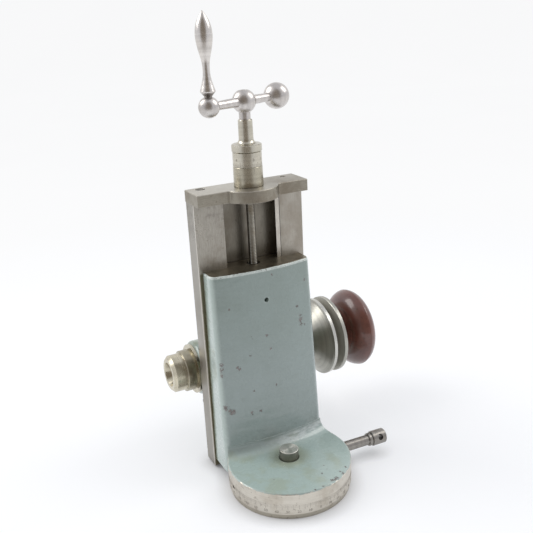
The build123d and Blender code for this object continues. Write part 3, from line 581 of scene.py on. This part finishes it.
def finishes():
    """A material for every CAD node, shared by the pieces that are made alike."""
    screw_at = (SCREW.x, SCREW.y, 0)
    spindle_at = (0, SPINDLE.y, SPINDLE.z)

    paint_over(["angle_bracket"], casting_paint("bracket_enamel", True))
    paint_over(["spindle_housing"], casting_paint("housing_enamel", False))
    paint_over(["slide_plate"], ground_metal("slide_ground", edge=0.25, marks_and_light=slide_wear))
    paint_over(["gib_strip"], ground_metal("gib_ground", tone=(224, 218, 208), dirt=0.2))
    paint_over(["end_plate"], ground_metal(
        "end_plate_ground", grain=(6, 60, 60), tone=(164, 158, 145), marks_and_light=plate_wear,
    ))

    paint_over(["bearing_sleeve"], turned_metal(
        "sleeve_steel", screw_at, UP, (184, 178, 161), 0.26, 0.2, 0.0008, edge=0.1,
    ))
    paint_over(["dial", "dial_cap"], turned_metal(
        "dial_steel", screw_at, UP, (206, 201, 187), 0.26, 0.2, 0.0008, edge=0.1,
    ))
    paint_over(["leadscrew"], turned_metal("oily_steel", screw_at, UP, (156, 152, 142), 0.3, 0.5))
    crank_at = (SCREW.x, SCREW.y, middle("crank_handle").z)
    paint_over(["crank_handle"], turned_metal(
        "crank_steel", crank_at, ARM_WAY, (212, 207, 203), 0.31, 0.12, 0.0004, edge=0.2,
    ))
    grip_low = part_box("crank_grip")[0].z
    paint_over(["crank_grip"], turned_metal(
        "grip_steel", (GRIP.x, GRIP.y, 0), UP, (224, 219, 214), 0.28, 0.12, 0.0003, edge=0.2,
        darker_span=[grip_low + height for height in GRIP_DARKER],
    ))

    paint_over(["pivot_stud"], worn_stud("stud_steel", (STUD.x, STUD.y, 0)))
    tommy_hole = (CLAMP_WAY * TOMMY_X + UP * CLAMP.z, TOMMY_WAY, TOMMY_R)
    paint_over(["clamp_screw"], turned_metal(
        "clamp_steel", (0, 0, CLAMP.z), CLAMP_WAY, (156, 152, 146), 0.3, 0.5, bore=tommy_hole,
    ))

    paint_over(["preload_nut", "draw_tube", "knob_ferrule", "knob_nut"], turned_metal(
        "spindle_steel", spindle_at, ALONG, (192, 190, 180), 0.30, 0.25, 0.0015, edge=0.6,
    ))
    paint_over(["pulley"], turned_metal(
        "pulley_steel", spindle_at, ALONG, (180, 179, 170), 0.32, 0.25, 0.0015, edge=0.7, groove=BELT_GROOVE,
    ))
    paint_over(["spindle"], turned_metal(
        "nose_steel", spindle_at, ALONG, (210, 203, 182), 0.26, 0.55, 0.002, edge=0.6,
    ))
    paint_over(["nose_ring"], turned_metal(
        "ring_steel", spindle_at, ALONG, (178, 172, 152), 0.28, 0.5, 0.003, edge=0.25,
    ))
    paint_over(["hand_knob"], polished_wood())

    paint_over(["end_plate_screw", "end_plate_dowel"], dark_metal("plain_steel", (172, 166, 154), 0.3))
    small = ["gib_screws", "gib_lock_nuts", "housing_bolts", "nut_set_screw"]
    small += ["pulley_set_screw", "pulley_key", "cross_pins", "dial_spring"]
    paint_over(small, dark_metal("blackened_steel"))
    bushes = ["leadscrew_nut", "screw_bush", "front_bearing", "rear_bearing"]
    paint_over(bushes + ["housing_oilers", "clamp_plunger"], bronze())


# ---- graduations ----


LINE_THICK = 0.05 * MM


def on_cylinder(centre, radius, turn, height):
    return Vector((centre.x + radius * cos(turn), centre.y + radius * sin(turn), height))


def round_plate(bm, centre, radius, thick, turn, half_turn, low, high):
    """A thin plate that hugs an upright cylinder: from low to high, half_turn each side of turn."""
    corners = []
    for depth in (radius - thick, radius):
        for height in (low, high):
            turns = (turn - half_turn, turn + half_turn)
            corners.append([bm.verts.new(on_cylinder(centre, depth, angle, height)) for angle in turns])
    inner_low, inner_high, outer_low, outer_high = corners
    for a, b in (
        (outer_low, outer_high), (inner_high, inner_low), (inner_low, outer_low), (outer_high, inner_high),
    ):
        bm.faces.new((a[0], a[1], b[1], b[0]))
    bm.faces.new((inner_low[0], outer_low[0], outer_high[0], inner_high[0]))
    bm.faces.new((inner_high[1], outer_high[1], outer_low[1], inner_low[1]))


def piece(name, bm, body, material):
    """An object of that mesh, riding on a body."""
    mesh = bpy.data.meshes.new(name)
    bmesh.ops.recalc_face_normals(bm, faces=bm.faces)
    bm.to_mesh(mesh)
    bm.free()
    made = bpy.data.objects.new(name, mesh)
    bpy.context.scene.collection.objects.link(made)
    mesh.materials.append(material)
    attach(made, body)
    return made


def scale_figures(name, centre, radius, body, material, labels, size, low):
    """Figures wrapped round a cylinder, upright and read from outside."""
    bm = bmesh.new()
    for angle, text in labels:
        curve = bpy.data.curves.new("figure", "FONT")
        curve.body = text
        curve.size = size
        curve.align_x = "CENTER"
        curve.resolution_u = 2
        curve.offset = size * 0.012
        holder = bpy.data.objects.new("figure", curve)
        flat = bpy.data.meshes.new_from_object(holder)
        letters = bmesh.new()
        letters.from_mesh(flat)
        bmesh.ops.triangulate(letters, faces=letters.faces)
        extruded = bmesh.ops.extrude_face_region(letters, geom=letters.faces)
        for vertex in [part for part in extruded["geom"] if isinstance(part, bmesh.types.BMVert)]:
            vertex.co.z = LINE_THICK
        for vertex in letters.verts:
            depth = radius - LINE_THICK + vertex.co.z
            vertex.co = on_cylinder(centre, depth, angle + vertex.co.x / radius, low + vertex.co.y)
        letters.to_mesh(flat)
        letters.free()
        bm.from_mesh(flat)
        bpy.data.objects.remove(holder)
        bpy.data.curves.remove(curve)
        bpy.data.meshes.remove(flat)
    piece(name, bm, body, material)


def on_flat_back(angle):
    """Whether that place on the foot's rim is cut away by the flat at the back."""
    return FOOT_R * sin(angle) > CAST_HIGH.y - 10 * MM


def foot_scale(material):
    """Lines at every degree, longer at every fifth, with figures below them at every tenth."""
    line_top, short_low, long_low, figures_low = 10.4 * MM, 8.3 * MM, 7.1 * MM, 4.6 * MM
    bm = bmesh.new()
    for degree in range(360):
        angle = radians(degree)
        if on_flat_back(angle):
            continue
        low, half_width = (short_low, 0.05 * MM) if degree % 5 else (long_low, 0.10 * MM)
        round_plate(bm, STUD, SKIRT_R, 0.06 * MM, angle, half_width / FOOT_R, low, line_top)
    piece("foot_degree_lines", bm, "bracket", material)
    labels = []
    for degree in range(0, 360, 10):
        angle = radians(degree - 90)
        if not on_flat_back(angle):
            labels.append((angle, str(min(degree, 360 - degree))))
    figures = "foot_degree_figures"
    scale_figures(figures, STUD, SKIRT_R, "bracket", material, labels, 2.5 * MM, figures_low)


def dial_scale(material):
    """The dial's 50 lines and its figures at every fifth, and the index line on the sleeve below."""
    low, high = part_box("dial")
    radius = (high.x - low.x) / 2 + 0.01 * MM
    start = low.z + 0.35 * MM
    divisions, half_width = 50, 0.08 * MM
    bm = bmesh.new()
    for i in range(divisions):
        length = 3.0 * MM if i % 10 == 0 else 2.4 * MM if i % 5 == 0 else 1.7 * MM
        turn = tau * i / divisions
        round_plate(bm, SCREW, radius, LINE_THICK, turn, half_width / radius, start, start + length)
    piece("dial_lines", bm, "dial", material)
    labels = [(tau * i / 10 - pi / 2, str(i)) for i in range(10)]
    scale_figures(
        "dial_figures", SCREW, radius, "dial", material, labels, 2.4 * MM, start + 3.5 * MM,
    )
    sleeve_low, sleeve_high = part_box("bearing_sleeve")
    bm = bmesh.new()
    sleeve_r = (sleeve_high.x - sleeve_low.x) / 2 - 0.09 * MM
    line_low, line_high = sleeve_high.z - 3.4 * MM, sleeve_high.z - 0.4 * MM
    round_plate(bm, SCREW, sleeve_r, 0.08 * MM, -pi / 2, 0.12 * MM / sleeve_r, line_low, line_high)
    piece("sleeve_index_line", bm, "slide", material)


# ---- screw thread ----


def lathe(bm, centre, profile, steps, radius_at):
    """Skin turned about an upright axis through centre, from a profile of (height, radius). radius_at
    may change the radius with height and turn."""
    rings = []
    for height, radius in profile:
        turns = [tau * i / steps for i in range(steps)]
        rings.append([
            bm.verts.new(on_cylinder(centre, radius_at(height, turn, radius), turn, height)) for turn in turns
        ])
    for low, high in zip(rings, rings[1:]):
        for i in range(steps):
            j = (i + 1) % steps
            bm.faces.new((low[i], low[j], high[j], high[i]))
    bm.faces.new(rings[0][::-1])
    bm.faces.new(rings[-1])


def threaded_leadscrew(material):
    """The leadscrew with its thread cut, in place of the plain one."""
    low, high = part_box("leadscrew")
    slide_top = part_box("slide_plate")[1].z
    pitch, depth, crest = 1.0 * MM, 0.28 * MM, 2.75 * MM
    point_r, collar_r, neck_r, pin_r = 2.05 * MM, 5.0 * MM, 3.0 * MM, 2.2 * MM
    thread_low, thread_high = low.z + 1.0 * MM, slide_top - 3 * MM
    step = pitch / 6

    def radius_at(height, turn, radius):
        if radius != crest or not thread_low <= height <= thread_high:
            return radius
        phase = (height / pitch - turn / tau) % 1.0
        return crest - depth * min(1.0, 2.2 * min(phase, 1 - phase) * 1.25)

    point_end = low.z + 0.7 * MM
    profile = [(low.z, point_r), (point_end, crest)]
    profile += [(point_end + step * (i + 1), crest) for i in range(int((thread_high - low.z) / step))]
    collar_low, collar_high = slide_top + 0.4 * MM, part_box("bearing_sleeve")[0].z - 0.05 * MM
    profile += [(collar_low, crest), (collar_low, collar_r), (collar_high, collar_r), (collar_high, neck_r)]
    neck_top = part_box("dial_cap")[0].z + 12.7 * MM
    profile += [(neck_top, neck_r), (neck_top, pin_r), (high.z, pin_r)]
    bm = bmesh.new()
    lathe(bm, SCREW, profile, 28, radius_at)
    made = piece("leadscrew_threaded", bm, "leadscrew", material)
    for polygon in made.data.polygons:
        polygon.use_smooth = True
    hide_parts("leadscrew")


# ---- camera ----


CAMERA_AT = Vector((-0.185755, -0.366278, 0.291629))
YAW, PITCH, ROLL = radians(25.748), radians(19.119), radians(-3.006)
LENS = 49.67


def camera():
    data = bpy.data.cameras.new("camera")
    data.lens = LENS
    data.sensor_width = 36
    data.clip_start, data.clip_end = 0.01, 50
    made = bpy.data.objects.new("camera", data)
    ahead = Vector((sin(YAW) * cos(PITCH), cos(YAW) * cos(PITCH), -sin(PITCH)))
    right = Vector((cos(YAW), -sin(YAW), 0))
    above = right.cross(ahead)
    rolled_right = right * cos(ROLL) + above * sin(ROLL)
    rolled_above = above * cos(ROLL) - right * sin(ROLL)
    turn = Matrix((rolled_right, rolled_above, -ahead)).transposed()
    made.matrix_world = Matrix.Translation(CAMERA_AT) @ turn.to_4x4()
    bpy.context.scene.collection.objects.link(made)
    bpy.context.scene.camera = made


# ---- paper, lamps and room ----


NEAR_SHADE, FAR_SHADE = 0.575, 0.08     # how much light the paper sends back, near the object and far off
NEAR_GLOW, FAR_GLOW = 0.445, 0.92       # and its own light
NEAR_END, FAR_START = 0.15, 0.75        # from the origin, in metres
NEAR_TINT, FAR_TINT = (0.925, 0.955, 1.0, 1), (0.965, 0.968, 0.975, 1)
CREVICE, CREVICE_POWER = 0.011, 1.3     # the glow fades this close to the foot, in metres, and how steeply

PAPER_TURN = radians(25.7)              # the way the paper runs, which is the camera's
PAPER_FRONT, PAPER_BACK = 0.62, 2.6     # its flat part, from the origin
PAPER_BEND, PAPER_WALL, PAPER_HALF = 1.2, 4.0, 4.5

LAMP_TARGET = Vector((0.0, 0.03, 0.12))
LAMP_SIDE, LAMP_AHEAD, LAMP_UP = 0.74, 0.13, 0.66   # the way to a lamp from its target
LAMP_AWAY, LAMP_WIDTH, LAMP_HEIGHT = 1.3, 0.65, 0.75
LEFT_POWER, RIGHT_POWER = 6.2, 4.2

ROOM_TONE, DARK_TONE = (0.80, 0.81, 0.85, 1), (0.28, 0.245, 0.21, 1)
DARK_RISE, DARK_SQUASH = radians(20), 0.62          # the dark side's height, and how much taller than wide
DARK_EDGE = (0.66, 0.88)                            # cosines between which it sets in
ROOM_STRENGTH = 0.95


def stage():
    """A pale floor that sweeps up into a backdrop far behind the object. It glows with its own light, and
    near the foot the glow fades into a painted contact shadow.
    """
    s = Shader("studio_paper")
    far = s.step(s.vector("LENGTH", s.place, out=1), NEAR_END, FAR_START)
    grain = s.spread(s.noise(3, detail=4), -0.004, 0.004)
    shade = s.math("ADD", s.mix_value(far, NEAR_SHADE, FAR_SHADE), grain)
    open_sky = s.node("ShaderNodeAmbientOcclusion", samples=6)
    s.plug(open_sky, "Distance", CREVICE)
    contact_shade_factor = s.math("POWER", open_sky.outputs["AO"], CREVICE_POWER)
    paper = s.surface(
        Base_Color=s.join(shade, shade, shade), Roughness=0.8, Specular_IOR_Level=0.0,
        Normal=s.bump(s.noise(900, detail=2), 0.01 * MM), Emission_Color=s.mix(far, NEAR_TINT, FAR_TINT),
        Emission_Strength=s.times(contact_shade_factor, s.mix_value(far, NEAR_GLOW, FAR_GLOW)),
    )
    paper.cycles.emission_sampling = "NONE"
    line = [(-PAPER_FRONT, 0.0), (PAPER_BACK, 0.0)]
    for angle in range(6, 91, 6):
        rise = 1 - cos(radians(angle))
        line.append((PAPER_BACK + PAPER_BEND * sin(radians(angle)), PAPER_BEND * rise))
    line.append((PAPER_BACK + PAPER_BEND, PAPER_WALL))
    away = Vector((sin(PAPER_TURN), cos(PAPER_TURN), 0))
    side = Vector((away.y, -away.x, 0))
    bm = bmesh.new()
    rows = []
    for half in (-PAPER_HALF, PAPER_HALF):
        places = [away * distance + side * half + UP * (CAST_LOW.z + height) for distance, height in line]
        rows.append([bm.verts.new(place) for place in places])
    for i in range(len(line) - 1):
        bm.faces.new((rows[0][i], rows[1][i], rows[1][i + 1], rows[0][i + 1]))
    mesh = bpy.data.meshes.new("studio_sweep")
    bm.to_mesh(mesh)
    bm.free()
    for polygon in mesh.polygons:
        polygon.use_smooth = True
    sweep = bpy.data.objects.new("studio_sweep", mesh)
    bpy.context.scene.collection.objects.link(sweep)
    mesh.materials.append(paper)


def softbox(name, place, power):
    lamp = bpy.data.lights.new(name, "AREA")
    lamp.shape = "RECTANGLE"
    lamp.size, lamp.size_y = LAMP_WIDTH, LAMP_HEIGHT
    lamp.energy = power
    lamp.color = (1.0, 0.98, 0.95)
    made = bpy.data.objects.new(name, lamp)
    made.location = place
    made.rotation_euler = (LAMP_TARGET - place).to_track_quat("-Z", "Y").to_euler()
    bpy.context.scene.collection.objects.link(made)
    made.visible_camera = False


def lights():
    """Two softboxes beside the object, a little behind it, so that its front is left in softer light."""
    ahead, right = Vector((sin(YAW), cos(YAW), 0)), Vector((cos(YAW), -sin(YAW), 0))
    for name, side, power in (("softbox_left", -1, LEFT_POWER), ("softbox_right", 1, RIGHT_POWER)):
        way = right * side * LAMP_SIDE + ahead * LAMP_AHEAD + UP * LAMP_UP
        softbox(name, LAMP_TARGET + way.normalized() * LAMP_AWAY, power)


def world():
    """An even pale room with a darker side behind the camera, which the metal picks up. The camera itself
    sees it plain."""
    made = bpy.data.worlds.new("room")
    s = Shader(made, "Generated")
    across = cos(DARK_RISE)
    back = Vector((-sin(YAW) * across, -cos(YAW) * across, sin(DARK_RISE) * DARK_SQUASH)).normalized()
    way = s.vector("NORMALIZE", s.vector("MULTIPLY", s.place, (1, 1, DARK_SQUASH)))
    dark = s.step(s.vector("DOT_PRODUCT", way, back, out=1), *DARK_EDGE)
    mirrored, seen = s.node("ShaderNodeBackground"), s.node("ShaderNodeBackground")
    s.plug_all(mirrored, ("Color", s.mix(dark, ROOM_TONE, DARK_TONE)), ("Strength", ROOM_STRENGTH))
    s.plug(seen, "Color", FAR_TINT)
    both = s.node("ShaderNodeMixShader")
    by_camera = s.node("ShaderNodeLightPath").outputs["Is Camera Ray"]
    s.plug_all(both, (0, by_camera), (1, mirrored.outputs[0]), (2, seen.outputs[0]))
    s.plug(s.node("ShaderNodeOutputWorld"), 0, both.outputs[0])
    bpy.context.scene.world = made


finishes()
fill = engraved()
foot_scale(fill)
dial_scale(fill)
threaded_leadscrew(bpy.data.materials["oily_steel"])
stage()
lights()
world()
camera()

scene = bpy.context.scene
scene.view_settings.view_transform = "Standard"
scene.view_settings.look = "None"
scene.view_settings.exposure = 0.0
